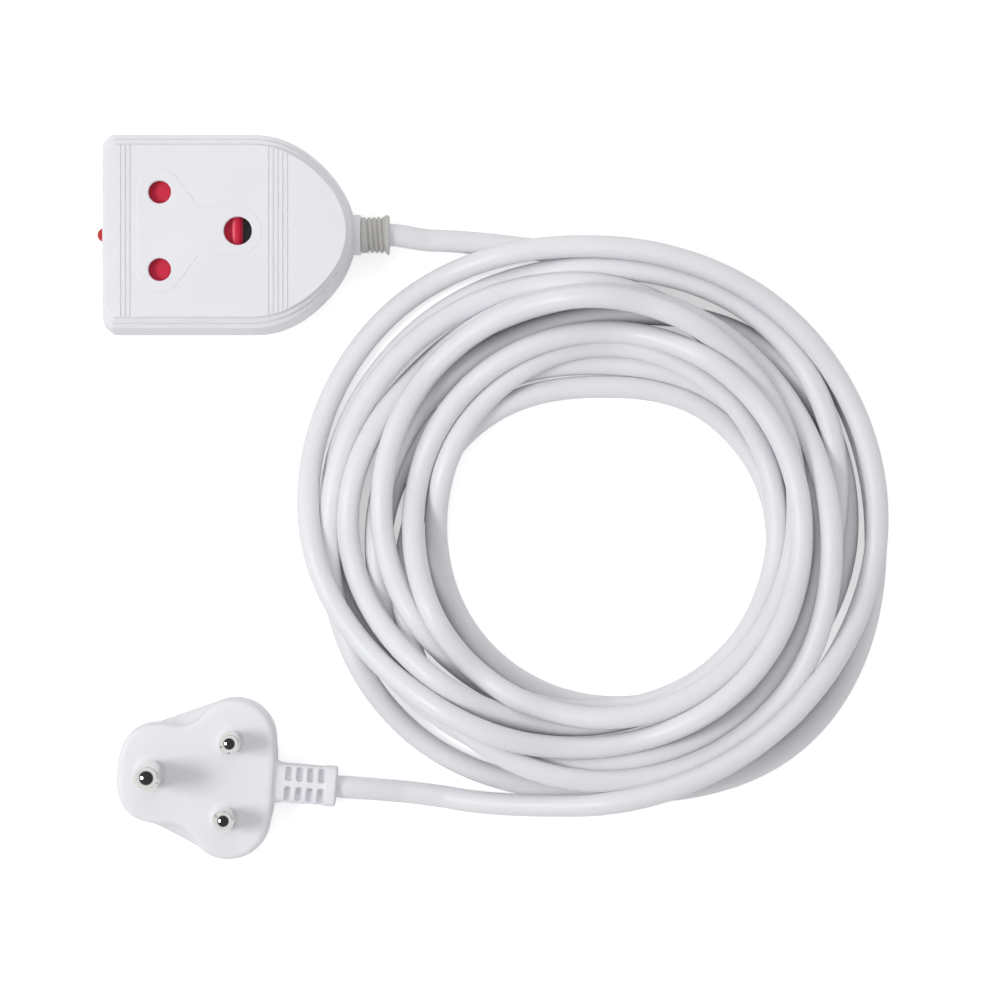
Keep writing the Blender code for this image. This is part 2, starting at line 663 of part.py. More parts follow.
def pile_heights(knots):
    """Axis heights at the knots, so that each loop rests on those laid under it.

    The cable runs straight between knots. Wherever two loops come nearer than a cable's width,
    the knot nearest to that place lifts the upper one clear, and a steep rise is spread along
    the cable. The heights are worked out again, lowest level first, until they settle.
    """
    rests, order = pile_rests(knots)
    heights = np.full(len(knots), CABLE_RADIUS)
    runs = np.radians(KNOT_STEP) * cable_radius_at(knots) * STEEPEST
    last = len(heights) - 1
    for _ in range(MOST_SWEEPS):
        before = heights.copy()
        for knot in order:
            lift = END_HEIGHT if knot == last else CABLE_RADIUS
            lift = max(lift, heights[max(knot - 1, 0)] - runs[knot])
            lift = max(lift, heights[min(knot + 1, last)] - runs[knot])
            for other, share, under, rise in rests[knot]:
                need = height_between(heights, under) + rise
                lift = max(lift, (need - share * heights[other]) / (1 - share))
            heights[knot] = lift
        if np.abs(heights - before).max() < SETTLED:
            break
    return heights


def pile_rests(knots):
    """What each knot rests on, and the knots' order from the lowest level up.

    A rest is the neighbouring knot that shares it, that knot's share, the place under it in
    knots along the cable, and how far the upper axis stays above the lower one there.
    """
    fine = np.arange(COIL_START, COIL_END + 1, FINE_STEP)
    radii = np.interp(fine, knots, cable_radius_at(knots))
    levels = np.array([level_at(a + FINE_STEP / 100) for a in fine])
    width = 2 * CABLE_RADIUS + GAP
    per_turn = 360 // FINE_STEP
    per_knot = KNOT_STEP / FINE_STEP
    rests = [[] for _ in knots]
    for first in range(len(fine)):
        for second in range(first + per_turn, len(fine), per_turn):
            apart = abs(radii[first] - radii[second])
            if apart < width:
                low, high = sorted((first, second), key=lambda i: levels[i])
                own = round(high / per_knot)
                share = abs(high / per_knot - own)
                other = own + int(np.sign(high / per_knot - own))
                rise = math.sqrt(width**2 - apart**2)
                rests[own].append((other, share, low / per_knot, rise))
    return rests, np.argsort(levels[:: int(per_knot)], kind="stable")


def height_between(heights, place):
    index = int(place)
    part = place - index
    if part == 0:
        return heights[index]
    return heights[index] * (1 - part) + heights[index + 1] * part


def coil_path():
    knots = np.arange(COIL_START, COIL_END + 1, KNOT_STEP)
    radii = cable_radius_at(knots)
    heights = pile_heights(knots)
    turns = np.radians(knots)
    xs = COIL_CENTRE[0] + radii * np.cos(turns)
    ys = COIL_CENTRE[1] + radii * np.sin(turns)
    return [Vector(p) for p in zip(xs, ys, heights)]


def build_cable(look, plug_joint, socket_joint, plug_frame, path):
    """The coil and its two leads; each lead ends in a ball at its bending point."""
    shorten = CABLE_RADIUS + GAP
    body = list(path)
    first_along = (path[1] - path[0]).normalized()
    last_along = (path[-1] - path[-2]).normalized()
    body[0] = path[0] + first_along * shorten
    body[-1] = path[-1] - last_along * shorten
    piece("cable_coil", swept(body, CABLE_RADIUS, CABLE_SIDES), look, WORLD)
    to_world = plug_frame.matrix_world
    inside = to_world @ (Vector((6.4, 0, PLUG_CABLE_HEIGHT)) * MM) / MM
    outlet = to_world @ (Vector((RELIEF_END, 0, PLUG_CABLE_HEIGHT)) * MM) / MM
    plug_along = (outlet - inside).normalized()
    plug_path = [inside] + bent(outlet, plug_along, path[0], first_along, 12.0, 8)
    shape = swept(plug_path, CABLE_RADIUS, CABLE_SIDES, round_end=True)
    piece("plug_lead", shape, look, plug_joint, frame=WORLD)
    socket_inside = Vector((22.2, 0, PARTING_HEIGHT))
    socket_outlet = Vector((SLEEVE_END, 0, PARTING_HEIGHT))
    socket_path = bent(path[-1], last_along, socket_outlet, (-1, 0, 0), 5.0, 6) + [socket_inside]
    shape = swept(socket_path, CABLE_RADIUS, CABLE_SIDES, round_start=True)
    piece("socket_lead", shape, look, socket_joint, frame=WORLD)


clear_scene()
WORLD = empty("world_frame")
coil = coil_path()
socket_hinge = empty("socket_lead_hinge", coil[-1])
plug_hinge = empty("plug_lead_hinge", coil[0])
socket = empty("socket_frame", parent=socket_hinge)
plug = empty("plug_frame", (*PLUG_PLACE, 0.0), PLUG_TURN, plug_hinge)

shell_white = material("shell_white", WHITE, 0.38)
plug_white = material("plug_white", WHITE, 0.42)
cable_white = material("cable_white", CABLE_WHITE, 0.32)
sleeve_grey = material("sleeve_grey", WARM_GREY, 0.5)
shutter_red = material("shutter_red", (0.6, 0.02, 0.06), 0.4)
lens_red = material("lens_red", (0.65, 0.01, 0.01), 0.15)
lamp_glass = material("lamp_glass", (0.75, 0.5, 0.35), 0.1)
insulator = material("insulator", (0.72, 0.72, 0.7), 0.6)
brass = material("brass", (0.78, 0.6, 0.28), 0.3, 1.0)
nickel = material("nickel", (0.72, 0.71, 0.69), 0.18, 1.0)
steel = material("steel", (0.55, 0.55, 0.57), 0.3, 1.0)
live_brown = material("live_brown", (0.18, 0.07, 0.03), 0.45)
neutral_blue = material("neutral_blue", (0.03, 0.12, 0.45), 0.45)
earth_green = material("earth_green", (0.25, 0.5, 0.05), 0.45)
core_looks = (live_brown, neutral_blue, earth_green)

build_socket_base(shell_white, socket)
build_socket_cover(shell_white, socket)
build_shutter(shutter_red, socket)
build_carrier(insulator, socket)
build_contacts(brass, socket)
build_spring(steel, socket)
build_indicator(lens_red, lamp_glass, socket)
build_sleeve(sleeve_grey, socket)
build_clamp(insulator, steel, socket)
build_housing_screws(steel, socket)
build_socket_wires(core_looks, socket)
build_plug_body(plug_white, plug)
build_pins(nickel, plug)
build_pin_bridge(insulator, plug)
build_plug_wires(core_looks, plug)
build_cable(cable_white, plug_hinge, socket_hinge, plug, coil)
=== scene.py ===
"""Looks for the coiled extension lead: fine meshes and procedural materials on the CAD frame.

Lengths are millimetres until a mesh is made. The frame's origin is the centre of the socket's
back, with the socket's cable end towards +X and its face towards +Z.
"""

import json
import math

import bmesh
import bpy
import numpy as np
from mathutils import Euler, Matrix, Vector

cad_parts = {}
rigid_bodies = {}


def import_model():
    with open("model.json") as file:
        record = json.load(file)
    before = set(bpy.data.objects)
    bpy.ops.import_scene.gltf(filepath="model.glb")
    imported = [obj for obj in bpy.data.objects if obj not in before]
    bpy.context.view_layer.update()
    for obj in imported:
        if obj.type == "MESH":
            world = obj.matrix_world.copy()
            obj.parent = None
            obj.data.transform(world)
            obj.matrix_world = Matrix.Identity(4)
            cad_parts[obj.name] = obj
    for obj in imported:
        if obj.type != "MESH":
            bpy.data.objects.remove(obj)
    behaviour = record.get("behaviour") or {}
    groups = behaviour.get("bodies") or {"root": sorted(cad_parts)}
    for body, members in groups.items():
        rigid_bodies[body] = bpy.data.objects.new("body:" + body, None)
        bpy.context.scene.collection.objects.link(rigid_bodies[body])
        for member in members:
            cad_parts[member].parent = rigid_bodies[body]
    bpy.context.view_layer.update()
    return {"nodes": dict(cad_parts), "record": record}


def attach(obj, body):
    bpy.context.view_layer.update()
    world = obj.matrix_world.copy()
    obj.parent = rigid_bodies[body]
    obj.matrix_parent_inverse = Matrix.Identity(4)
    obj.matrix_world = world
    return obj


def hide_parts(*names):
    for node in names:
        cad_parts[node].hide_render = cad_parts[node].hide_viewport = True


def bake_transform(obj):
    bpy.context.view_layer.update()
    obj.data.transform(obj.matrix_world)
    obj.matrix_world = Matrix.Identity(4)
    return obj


MM = 0.001

# Pins and holes
HALF_SPACING = 12.7  # from the plug's or the socket's middle line to live or neutral
EARTH_OFFSET = 25.6
LINE_PIN_RADIUS = 3.53
EARTH_PIN_RADIUS = 4.35
LINE_PIN_LENGTH = 18.6
EARTH_PIN_LENGTH = 28.6
PIN_NOSE = 0.8  # length of the domed end for each millimetre of radius
LINE_HOLE_RADIUS = 3.72
EARTH_HOLE_RADIUS = 4.62

# Socket
SOCKET_LEFT = -41.7
SOCKET_RIGHT = 41.8
SOCKET_HALF_WIDTH = 33.25
SOCKET_ROUND_FROM = 8.6
SOCKET_HEIGHT = 35.0
PARTING_HEIGHT = 9.5
PARTING_GAP = 0.3
BEVEL_POWER = 1.6  # 1 makes the left corners round, 2 makes them straight bevels
LINE_HOLE_X = -21.6
EARTH_HOLE_X = LINE_HOLE_X + EARTH_OFFSET
GROOVE_PITCH = 1.55
LEFT_GROOVES = (-34.2, 3)  # first groove's place and how many
RIGHT_GROOVES = (14.3, 5)
SLEEVE_START = 43.7
SLEEVE_END = 53.1
SLEEVE_RADIUS = 5.95
SLEEVE_BAND = 1.9  # plain stretch before the first rib
SLEEVE_RIBS = 4
RIB_PITCH = 1.62
CORNER = 3.3  # how far the left corners' bevels reach
INNER_CORNER = 2.5
PLATE_RISE = 0.22  # the raised plate round the holes
LINE_PLATE_RADIUS = 7.35
EARTH_PLATE_RADIUS = 7.7
MOUTH_ROUND = 0.45
HOLE_FLOOR = 30.0
LENS_RADIUS = 2.4
LENS_REACH = 2.45
FLANGE_RADIUS = 3.6
RAMP_HALF_WIDTH = 5.35
CROSS_REACH = 1.9  # the case screws' cross slots
CROSS_HALF_WIDTH = 0.32
HOUSING_SCREWS = ((-33.4, 23.6), (-33.4, -23.6), (24.0, 19.0), (24.0, -19.0))

# Plug, in its own frame
PLUG_PLACE = (0.15, -180.8)
PLUG_TURN = math.radians(-4.5)
PLUG_HEIGHT = 18.0
PLUG_CABLE_HEIGHT = 8.5
EARTH_LOBE_X = -23.5
EARTH_LOBE_LENGTH = 14.3
EARTH_LOBE_WIDTH = 16.8
SQUARENESS = 0.8  # 1 makes the earth lobe an ellipse, less makes it squarer
LINE_LOBE = (0.5, 13.2)
LINE_LOBE_RADIUS = 13.8
FLANK_ARRIVES = 119  # degrees round the line lobe where a scooped flank meets it
FLANK_SCOOP = 3.5
TOP_EDGE = 1.7
BOTTOM_EDGE = 3.0
VOXEL = 0.36
RELIEF_END = 35.4
RELIEF_HALF_WIDTH = 6.7
RELIEF_SQUARENESS = 0.4  # as SQUARENESS, for the strain relief's section
FIRST_WINDOW = 19.5
WINDOW_PITCH = 3.67
WINDOWS = 4
WINDOW_HALF_WIDTH = 1.05

# Cable: the CAD's loops with finer steps; the loop with levels 0.5 and 1.2 lies further out here,
# by up to 4.5 mm
CABLE_RADIUS = 3.72
CABLE_SIDES = 28
CABLE_SHARP_ANGLE = 60
SEAM = 6  # cross-sections from a hinge to where the coil's own mesh begins
COIL_CENTRE = (123.2, -98.9)
COIL_START = 240
COIL_END = 11 * 360 + 120
FINE_STEP = 3  # degrees between cross-sections
LOOP_STEP = 45
STEEPEST = 0.4
TOUCH = 0.05  # clearance kept where one loop rests on another
MOST_SWEEPS = 80
SETTLED = 1e-3
END_HEIGHT = 5.6
LOOPS = (
    (10, 0, 10, (92.1, 94.4, 94.9, 101.0, 96.3, 79.4, 70.9, 68.0)),
    (9, 0, 9, (66.4, 67.1, 66.5, 64.8, 62.1, 61.6, 61.3, 62.1)),
    (8, 200, 6.5, (65.0, 72.3, 77.5, 77.7, 72.1, 64.3, 59.6, 59.1)),
    (2, 180, 6, (59.1, 54.5, 48.5, 54.2, 63.1, 77.1, 82.3, 81.7)),
    (7, 0, 7, (76.1, 76.7, 78.6, 80.2, 83.7, 72.1, 63.3, 59.1)),
    (4, 0, 4, (59.0, 61.5, 62.1, 57.8, 54.6, 55.5, 58.3, 63.1)),
    (3, 138, 1, (68.1, 61.5, 56.2, 63.1, 72.8, 75.7, 76.7, 77.1)),
    (0.5, 138, 1.2, (82.7, 83.0, 72.0, 72.0, 74.5, 77.0, 73.8, 71.4)),
    (2.5, 217, 5.5, (78.1, 88.0, 88.0, 90.7, 90.2, 81.4, 76.9, 75.2)),
    (5, 0, 5, (73.9, 71.8, 82.1, 88.5, 90.2, 91.7, 86.7, 96.0)),
)
FIRST_LEVEL = 10
LAST_LEVEL = 1.5
HEAD = ((240, 102.3), (250, 96.2), (260, 91.9), (270, 89.7), (315, 86.9))
TAIL = ((0, 92.2), (45, 93.4), (90, 91.7), (98, 94.4), (106, 98.8), (113, 104.8), (120, 112.3))

# Camera and light
CAMERA_HEIGHT = 1600.0
CAMERA_OVER = (89.9, -88.2)
CAMERA_LENS = 172
STAGE_MIDDLE = (0.09, -0.09, 0)  # metres, as are the lights' places and sizes
FLOOR_GLOW = 0.45
WORLD_STRENGTH = 0.55
GLOSSY_WORLD_STRENGTH = 0.9
LIGHTS = (  # name, place, size, power and whether reflections show it
    ("key", (-0.72, -0.14, 1.15), 0.36, 7.2, True),
    ("fill", (0.2, 0.9, 1.25), 0.9, 2.4, False),
    ("front", (0.09, -0.09, 1.75), 0.4, 2.4, False),
)


# ---------------------------------------------------------------- meshes


def mesh_from(name, points, faces, look=None, smooth_angle=35):
    mesh = bpy.data.meshes.new(name)
    mesh.from_pydata([Vector(p) * MM for p in points], [], faces)
    work = bmesh.new()
    work.from_mesh(mesh)
    bmesh.ops.recalc_face_normals(work, faces=work.faces)
    work.to_mesh(mesh)
    work.free()
    obj = bpy.data.objects.new(name, mesh)
    bpy.context.scene.collection.objects.link(obj)
    if look:
        mesh.materials.append(look)
    soften(obj, smooth_angle)
    return obj


def soften(obj, angle=35):
    obj.data.shade_smooth()
    obj.data.set_sharp_from_angle(angle=math.radians(angle))


def lofted(rings):
    count = len(rings[0])
    points = [p for ring in rings for p in ring]
    faces = [tuple(range(count)), tuple(range(len(points) - count, len(points)))]
    for low in range(0, len(points) - count, count):
        for i in range(count):
            j = (i + 1) % count
            faces.append((low + i, low + j, low + count + j, low + count + i))
    return points, faces


def prism(outline, low, high):
    return lofted([[(x, y, z) for x, y in outline] for z in (low, high)])


def block(x, y, z):
    return prism(((x[0], y[0]), (x[1], y[0]), (x[1], y[1]), (x[0], y[1])), *z)


def revolved(profile, segments, centre, axis="Z"):
    """(radius, height) points turned about an axis; radius 0 at both ends closes it."""
    points, rows = [], []
    for radius, height in profile:
        if radius == 0:
            rows.append([len(points)] * segments)
            points.append((0.0, 0.0, height))
            continue
        rows.append([len(points) + i for i in range(segments)])
        for i in range(segments):
            turn = 2 * math.pi * (i + 0.5) / segments
            points.append((radius * math.cos(turn), radius * math.sin(turn), height))
    faces = []
    steps = len(rows) if profile[0][0] > 0 else len(rows) - 1
    for row in range(steps):
        low, high = rows[row], rows[(row + 1) % len(rows)]
        for i in range(segments):
            j = (i + 1) % segments
            faces.append(tuple(dict.fromkeys((low[i], low[j], high[j], high[i]))))
    if axis == "X":
        points = [(h, x, y) for x, y, h in points]
    return [tuple(a + b for a, b in zip(p, centre)) for p in points], faces


def tube(path, radius, sides):
    """A round bar along a path with flat ends."""
    path = np.array([tuple(p) for p in path])
    path[:, 2] = np.maximum(path[:, 2], radius)
    along = np.gradient(path, axis=0)
    along /= np.linalg.norm(along, axis=1)[:, None]
    side = np.cross((0.0, 0.0, 1.0), along)
    side /= np.linalg.norm(side, axis=1)[:, None]
    up = np.cross(along, side)
    turns = 2 * np.pi * np.arange(sides) / sides
    rings = []
    for place, across, above in zip(path, side, up):
        offsets = [math.cos(t) * across + math.sin(t) * above for t in turns]
        rings.append([tuple(place + radius * offset) for offset in offsets])
    return lofted(rings)


def cut(obj, shapes, operation="DIFFERENCE"):
    """Takes shapes out of obj, or adds them to it, and keeps only the result."""
    tools = []
    for points, faces in shapes:
        tool = mesh_from("tool", points, faces)
        change = obj.modifiers.new("shape", "BOOLEAN")
        change.operation = operation
        change.solver = "MANIFOLD"
        change.object = tool
        tools.append(tool)
    apply_modifiers(obj)
    for tool in tools:
        bpy.data.objects.remove(tool)


def apply_modifiers(obj):
    bpy.context.view_layer.update()
    graph = bpy.context.evaluated_depsgraph_get()
    mesh = bpy.data.meshes.new_from_object(obj.evaluated_get(graph))
    obj.modifiers.clear()
    obj.data = mesh


def even_shading(obj, angle=35):
    """Keeps large flat faces flat beside small rounded edges."""
    soften(obj, angle)
    weigh = obj.modifiers.new("even_shading", "WEIGHTED_NORMAL")
    weigh.keep_sharp = True
    weigh.weight = 80


# ---------------------------------------------------------------- materials


class Look:
    """A material's nodes, built up step by step."""

    def __init__(self, name, colour, roughness, metallic=0.0):
        self.material = bpy.data.materials.new(name)
        self.material.use_nodes = True
        self.tree = self.material.node_tree
        self.shader = self.tree.nodes["Principled BSDF"]
        self.shader.inputs["Base Color"].default_value = (*colour, 1.0)
        self.shader.inputs["Roughness"].default_value = roughness
        self.shader.inputs["Metallic"].default_value = metallic
        self.colour = colour
        place = self.node("ShaderNodeTexCoord")
        self.place = place.outputs["Object"]

    def node(self, kind, **inputs):
        made = self.tree.nodes.new(kind)
        for name, value in inputs.items():
            made.inputs[name.replace("_", " ")].default_value = value
        return made

    def link(self, source, target):
        self.tree.links.new(source, target)

    def noise(self, scale, detail=3.0, stretch=(1, 1, 1)):
        """A noise of features 1/scale metres across, stretched along an axis by a small factor."""
        mapping = self.node("ShaderNodeMapping")
        mapping.inputs["Scale"].default_value = stretch
        self.link(self.place, mapping.inputs["Vector"])
        made = self.node("ShaderNodeTexNoise", Scale=scale, Detail=detail)
        self.link(mapping.outputs["Vector"], made.inputs["Vector"])
        return made.outputs["Fac"]

    def spread(self, source, low, high):
        made = self.node("ShaderNodeMapRange", From_Min=0.3, From_Max=0.7)
        made.inputs["To Min"].default_value = low
        made.inputs["To Max"].default_value = high
        self.link(source, made.inputs["Value"])
        return made.outputs["Result"]

    def vary_roughness(self, source, low, high):
        self.link(self.spread(source, low, high), self.shader.inputs["Roughness"])

    def vary_colour(self, source, low, high):
        """The base colour times a factor between low and high."""
        mix = self.node("ShaderNodeMix")
        mix.data_type = "RGBA"
        mix.inputs[6].default_value = (*[c * low for c in self.colour], 1)
        mix.inputs[7].default_value = (*[c * high for c in self.colour], 1)
        self.link(self.spread(source, 0, 1), mix.inputs[0])
        self.link(mix.outputs[2], self.shader.inputs["Base Color"])

    def bump(self, source, height, before=None):
        """Adds a bump whose height is in millimetres."""
        made = self.node("ShaderNodeBump", Strength=1.0, Distance=height * MM)
        self.link(source, made.inputs["Height"])
        if before:
            self.link(before, made.inputs["Normal"])
        self.link(made.outputs["Normal"], self.shader.inputs["Normal"])
        return made.outputs["Normal"]


def moulded_plastic(name, colour, rough=(0.36, 0.48), grain=0.006):
    """Satin plastic: a fine mould grain, slow waviness and faint handling marks."""
    look = Look(name, colour, rough[0])
    marks = look.noise(45, 5)
    look.vary_roughness(marks, *rough)
    look.vary_colour(look.noise(22, 2), 0.975, 1.01)
    wave = look.bump(look.noise(60, 1), 0.03)
    look.bump(look.noise(2600, 2), grain, wave)
    look.shader.inputs["Subsurface Weight"].default_value = 0.06
    look.shader.inputs["Subsurface Radius"].default_value = (0.9, 0.9, 1.0)
    look.shader.inputs["Subsurface Scale"].default_value = 0.0012
    return look.material


def cable_sheath(name, colour):
    """Soft glossy PVC: slight lumps where it was coiled, and a faint bloom."""
    look = Look(name, colour, 0.3)
    look.vary_roughness(look.noise(70, 4), 0.34, 0.5)
    look.vary_colour(look.noise(30, 3), 0.97, 1.015)
    wave = look.bump(look.noise(110, 1), 0.06)
    look.bump(look.noise(1500, 2), 0.004, wave)
    look.shader.inputs["Subsurface Weight"].default_value = 0.05
    look.shader.inputs["Subsurface Scale"].default_value = 0.001
    return look.material


def rubber(name, colour):
    look = Look(name, colour, 0.6)
    look.vary_roughness(look.noise(120, 4), 0.5, 0.75)
    look.vary_colour(look.noise(80, 4), 0.92, 1.05)
    look.bump(look.noise(1800, 3), 0.02)
    return look.material


def bright_metal(name, colour, rough=(0.08, 0.2), stretch=(1, 1, 0.08), depth=0.0015):
    """Plated metal with fine drawn lines and small scuffs."""
    look = Look(name, colour, rough[0], 1.0)
    look.vary_roughness(look.noise(400, 4, stretch), *rough)
    look.vary_colour(look.noise(150, 3), 0.94, 1.03)
    look.bump(look.noise(2500, 2, stretch), depth)
    return look.material


def clear_plastic(name, colour, share):
    look = Look(name, colour, 0.12)
    look.vary_roughness(look.noise(200, 3), 0.08, 0.22)
    look.vary_colour(look.noise(300, 2), 0.9, 1.08)
    look.bump(look.noise(900, 2), 0.003)
    look.shader.inputs["Subsurface Weight"].default_value = share
    look.shader.inputs["Subsurface Scale"].default_value = 0.002
    return look.material


def build_looks():
    white = (0.80, 0.80, 0.835)
    return {
        "shell_white": moulded_plastic("shell_white", white),
        "plug_white": moulded_plastic("plug_white", white, (0.42, 0.55)),
        "cable_white": cable_sheath("cable_white", (0.79, 0.79, 0.82)),
        "sleeve_grey": rubber("sleeve_grey", (0.60, 0.59, 0.565)),
        "shutter_red": moulded_plastic("shutter_red", (0.72, 0.014, 0.062), (0.3, 0.42)),
        "lens_red": clear_plastic("lens_red", (0.5, 0.008, 0.008), 0.1),
        "lamp_glass": clear_plastic("lamp_glass", (0.75, 0.5, 0.35), 0.1),
        "insulator": moulded_plastic("insulator", (0.72, 0.72, 0.70), (0.5, 0.65)),
        "brass": bright_metal("brass", (0.78, 0.60, 0.28), (0.22, 0.38)),
        "nickel": bright_metal("nickel", (0.78, 0.77, 0.75), (0.05, 0.12)),
        "steel": bright_metal("steel", (0.55, 0.55, 0.57), (0.25, 0.4), (1, 1, 1)),
        "live_brown": moulded_plastic("live_brown", (0.18, 0.07, 0.03)),
        "neutral_blue": moulded_plastic("neutral_blue", (0.03, 0.12, 0.45)),
        "earth_green": moulded_plastic("earth_green", (0.25, 0.50, 0.05)),
    }


# ---------------------------------------------------------------- cable


def coil_radius(angle):
    """The coil's radius at a running angle, through the given radii with smooth slopes."""
    given = list(HEAD)
    for loop, (_, _, _, radii) in enumerate(LOOPS, 1):
        given += [(360 * loop + LOOP_STEP * i, r) for i, r in enumerate(radii)]
    given += [(360 * (len(LOOPS) + 1) + a, r) for a, r in TAIL]
    angles, radii = np.array(given).T
    slopes = np.gradient(radii, angles)
    index = np.clip(np.searchsorted(angles, angle, side="right") - 1, 0, len(angles) - 2)
    span = angles[index + 1] - angles[index]
    t = (angle - angles[index]) / span
    start = (1 + 2 * t) * (1 - t) ** 2 * radii[index] + t * (1 - t) ** 2 * span * slopes[index]
    return start + t * t * (3 - 2 * t) * radii[index + 1] + t * t * (t - 1) * span * slopes[index + 1]


def level_at(angle):
    """How high in the pile the cable is laid at a running angle."""
    loop = int(angle // 360)
    if loop == 0:
        return FIRST_LEVEL
    if loop > len(LOOPS):
        return LAST_LEVEL
    first, change, second, _ = LOOPS[loop - 1]
    return first if angle % 360 < change else second


def pile_heights(angles):
    """Axis heights, so that each loop rests on those laid under it, with limited slopes."""
    radii = coil_radius(angles)
    levels = np.array([level_at(a + FINE_STEP / 100) for a in angles])
    width = 2 * CABLE_RADIUS + TOUCH
    per_turn = 360 // FINE_STEP
    rests = [[] for _ in angles]
    for first in range(len(angles)):
        for second in range(first + per_turn, len(angles), per_turn):
            apart = abs(radii[first] - radii[second])
            if apart < width:
                low, high = sorted((first, second), key=lambda i: levels[i])
                rests[high].append((low, math.sqrt(width**2 - apart**2)))
    heights = np.full(len(angles), CABLE_RADIUS)
    runs = math.radians(FINE_STEP) * radii * STEEPEST
    last = len(angles) - 1
    for _ in range(MOST_SWEEPS):
        before = heights.copy()
        for place in np.argsort(levels, kind="stable"):
            lift = END_HEIGHT if place == last else CABLE_RADIUS
            lift = max(lift, heights[max(place - 1, 0)] - runs[place])
            lift = max(lift, heights[min(place + 1, last)] - runs[place])
            for under, rise in rests[place]:
                lift = max(lift, heights[under] + rise)
            heights[place] = lift
        if np.abs(heights - before).max() < SETTLED:
            break
    return rounded(heights, 4)


def rounded(values, passes):
    """Values with their corners rounded off, ends kept."""
    for _ in range(passes):
        inner = (values[:-2] + 2 * values[1:-1] + values[2:]) / 4
        values = np.concatenate([values[:1], inner, values[-1:]])
    return values


def coil_path():
    angles = np.arange(COIL_START, COIL_END + 1, FINE_STEP)
    radii = coil_radius(angles)
    turns = np.radians(angles)
    xs = COIL_CENTRE[0] + radii * np.cos(turns)
    ys = COIL_CENTRE[1] + radii * np.sin(turns)
    return np.stack([xs, ys, pile_heights(angles)], axis=1)


def smooth_curve(points, parts):
    """Points of a Catmull-Rom curve through the given points."""
    points = np.array([tuple(p) for p in points], float)
    ends = [2 * points[0] - points[1]], [2 * points[-1] - points[-2]]
    held = np.concatenate([ends[0], points, ends[1]])
    made = []
    for i in range(1, len(held) - 2):
        a, b, c, d = held[i - 1 : i + 3]
        for t in np.arange(parts) / parts:
            curve = 2 * b + (c - a) * t + (2 * a - 5 * b + 4 * c - d) * t * t
            made.append(0.5 * (curve + (3 * b - a - 3 * c + d) * t**3))
    made.append(points[-1])
    return np.array(made)


def bent(start, start_along, end, end_along, reach, count):
    """Points of a cubic curve that leaves start and meets end along the given directions."""
    corners = [Vector(start), Vector(start) + Vector(start_along) * reach]
    corners += [Vector(end) - Vector(end_along) * reach, Vector(end)]
    points = []
    for step in range(count + 1):
        t = step / count
        weights = ((1 - t) ** 3, 3 * t * (1 - t) ** 2, 3 * t * t * (1 - t), t**3)
        points.append(tuple(sum((w * c for w, c in zip(weights, corners)), Vector())))
    return points


def finish(obj, body, slot, *nodes):
    """Puts a piece on its body in place of CAD nodes."""
    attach(obj, body)
    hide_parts(*nodes)


def one_look(obj, look):
    """Gives a cut piece its only material and its shading."""
    obj.data.materials.clear()
    obj.data.materials.append(look)
    even_shading(obj)


def cable_mesh(name, path, look):
    """A stretch of cable along a path, with twice as many cross-sections as the path's points."""
    bar = tube(smooth_curve(path, 2), CABLE_RADIUS, CABLE_SIDES)
    return mesh_from(name, *bar, look, CABLE_SHARP_ANGLE)


def build_cable(look, plug_frame):
    """The coil, and at each end a lead that bends where the CAD's lead turns."""
    path = coil_path()
    coil = cable_mesh("coiled_cable", path[SEAM:-SEAM], look)
    finish(coil, "coil", "cable_white", "cable_coil")
    build_plug_lead(look, path, plug_frame)
    build_socket_lead(look, path)


def build_plug_lead(look, path, plug_frame):
    """From inside the plug, through its strain relief, to the coil's first cross-sections."""
    inside = plug_frame @ Vector((9.0, 0, PLUG_CABLE_HEIGHT))
    outlet = plug_frame @ Vector((RELIEF_END, 0, PLUG_CABLE_HEIGHT))
    along = (outlet - inside).normalized()
    hinge = Vector(path[0])
    onward = (Vector(path[1]) - hinge).normalized()
    curve = bent(outlet, along, path[0], onward, 12.0, 12)
    straight = [tuple(inside.lerp(outlet, i / 8)) for i in range(8)]
    whole = np.array(straight + curve + [tuple(p) for p in path[1 : SEAM + 1]])
    lead = cable_mesh("plug_cable", whole, look)
    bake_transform(lead)
    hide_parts("plug_lead")


def build_socket_lead(look, path):
    """From the coil's last cross-sections, through the sleeve, into the socket."""
    hinge = Vector(path[-1])
    onward = (hinge - Vector(path[-2])).normalized()
    outlet = Vector((SLEEVE_END, 0, PARTING_HEIGHT))
    curve = bent(path[-1], onward, outlet, (-1, 0, 0), 5.0, 10)
    straight = [(SLEEVE_END - 4 * i, 0, PARTING_HEIGHT) for i in range(1, 8)]
    whole = np.array([tuple(p) for p in path[-SEAM - 1 : -1]] + curve + straight)
    lead = cable_mesh("socket_cable", whole, look)
    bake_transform(lead)
    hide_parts("socket_lead")


# ---------------------------------------------------------------- socket


def socket_outline(inset_x, inset_y, corner=CORNER):
    """The socket's plan: square left end with softly bevelled corners, rounded cable end."""
    left, right = SOCKET_LEFT + inset_x, SOCKET_RIGHT - inset_x
    half_width = SOCKET_HALF_WIDTH - inset_y
    lower, upper, nose = [], [], []
    middle_x, middle_y = left + corner, half_width - corner
    for step in range(10):
        turn = step * math.pi / 18
        near = corner * math.cos(turn) ** BEVEL_POWER
        far = corner * math.sin(turn) ** BEVEL_POWER
        lower.append((middle_x - near, -middle_y - far))
        upper.append((middle_x - far, middle_y + near))
    reach = right - SOCKET_ROUND_FROM
    for step in range(65):
        turn = -math.pi / 2 + step * math.pi / 64
        flatten = 1 - 0.035 * math.sin(2 * turn) ** 2
        across = flatten * half_width * math.sin(turn)
        nose.append((SOCKET_ROUND_FROM + flatten * reach * math.cos(turn), across))
    return lower + nose + upper


